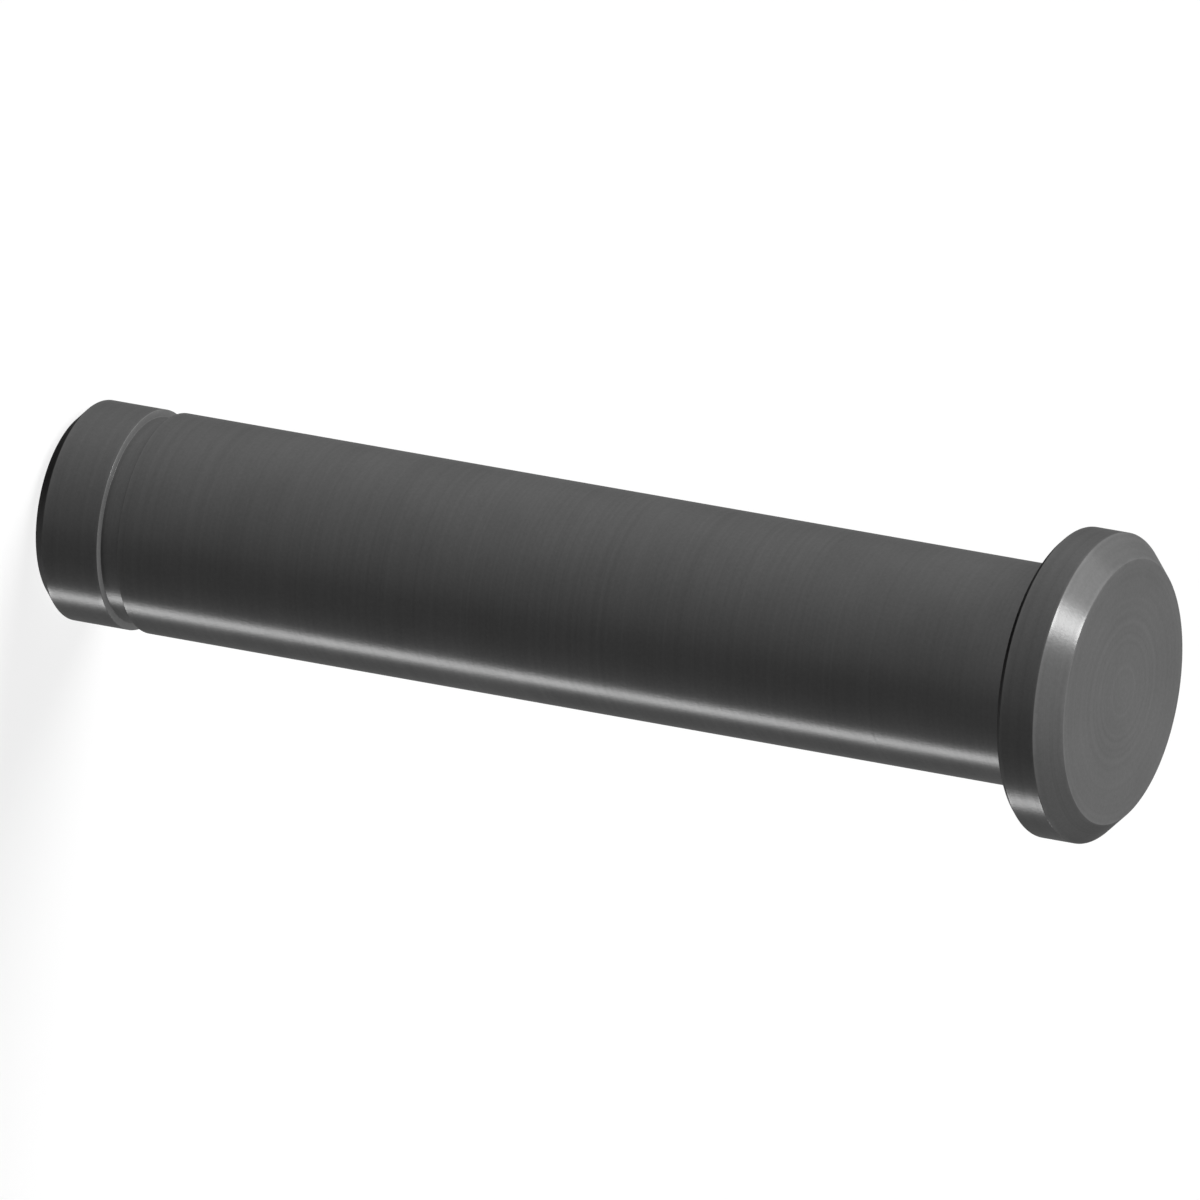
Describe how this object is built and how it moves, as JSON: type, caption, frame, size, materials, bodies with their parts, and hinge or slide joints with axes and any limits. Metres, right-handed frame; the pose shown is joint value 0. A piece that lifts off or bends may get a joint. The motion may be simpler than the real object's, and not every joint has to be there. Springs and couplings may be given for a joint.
{
  "type": "pivot pin",
  "caption": "Headed pivot pin with a plain cylindrical shank, a chamfered round head and a retaining-ring groove near its chamfered tail.",
  "frame": {"origin": "middle of the tail end's flat face, the lowest point, on which the pin stands", "axes": "+Z along the pin's axis, from the tail end up to the head"},
  "size_m": [0.011, 0.011, 0.0413],
  "materials": {
    "dark_steel": "satin"
  },
  "bodies": {
    "root": {"pivot_pin": "dark_steel"}
  },
  "joints": []
}
